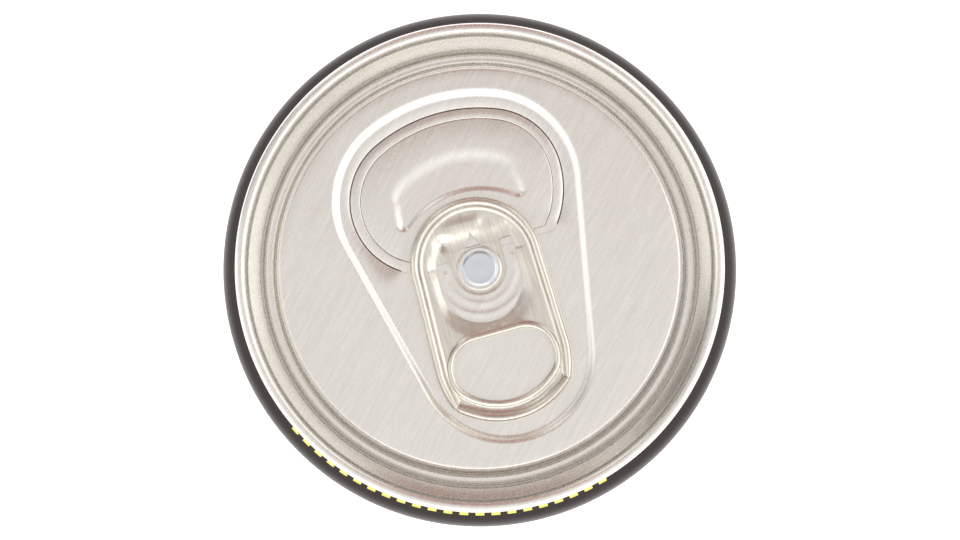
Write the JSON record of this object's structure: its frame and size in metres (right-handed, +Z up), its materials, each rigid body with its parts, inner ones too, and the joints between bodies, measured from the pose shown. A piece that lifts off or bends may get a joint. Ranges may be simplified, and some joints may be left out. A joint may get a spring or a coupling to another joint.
{
  "type": "drinks can",
  "caption": "Slim two-piece aluminium drinks can with a domed base, a double-seamed end, a scored pour panel and a riveted stay-on tab.",
  "frame": {"origin": "centre of the stand ring's resting face, on the can's axis", "axes": "+Z up along the can's axis, +Y from the rivet towards the pour side, +X to the right of the pour side"},
  "size_m": [0.0574, 0.0574, 0.1455],
  "materials": {
    "printed_body": "satin black printed and varnished aluminium, bare at the base",
    "end_sheet": "rolled aluminium, clear lacquered",
    "tab_sheet": "rolled aluminium, bright",
    "compound": "dried water-based sealing compound"
  },
  "bodies": {
    "can": {"can_body": "printed_body", "can_end": "end_sheet", "sealing_compound": "compound"},
    "pour_panel": {"tear_panel": "end_sheet"},
    "tab_island": {"rivet_island": "tab_sheet"},
    "tab_lever": {"ring_pull": "tab_sheet"}
  },
  "joints": [
    {"name": "tab_swivel", "type": "hinge", "parent": "can", "child": "tab_island", "pos_m": [0, 0, 0.1407], "axis": [0, 0, 1], "range_deg": [-3, 5]},
    {"name": "tab_lift", "type": "hinge", "parent": "tab_island", "child": "tab_lever", "pos_m": [0.00006, 0.0026, 0.1407], "axis": [-0.9997, 0.0244, 0], "range_deg": [0, 80]},
    {"name": "panel_bend", "type": "hinge", "parent": "can", "child": "pour_panel", "pos_m": [0, 0.00165, 0.14033], "axis": [-1, 0, 0], "range_deg": [0, 80]}
  ],
  "couplings": [
    {"joint": "panel_bend", "follows": "tab_lift", "ratio": 1}
  ]
}
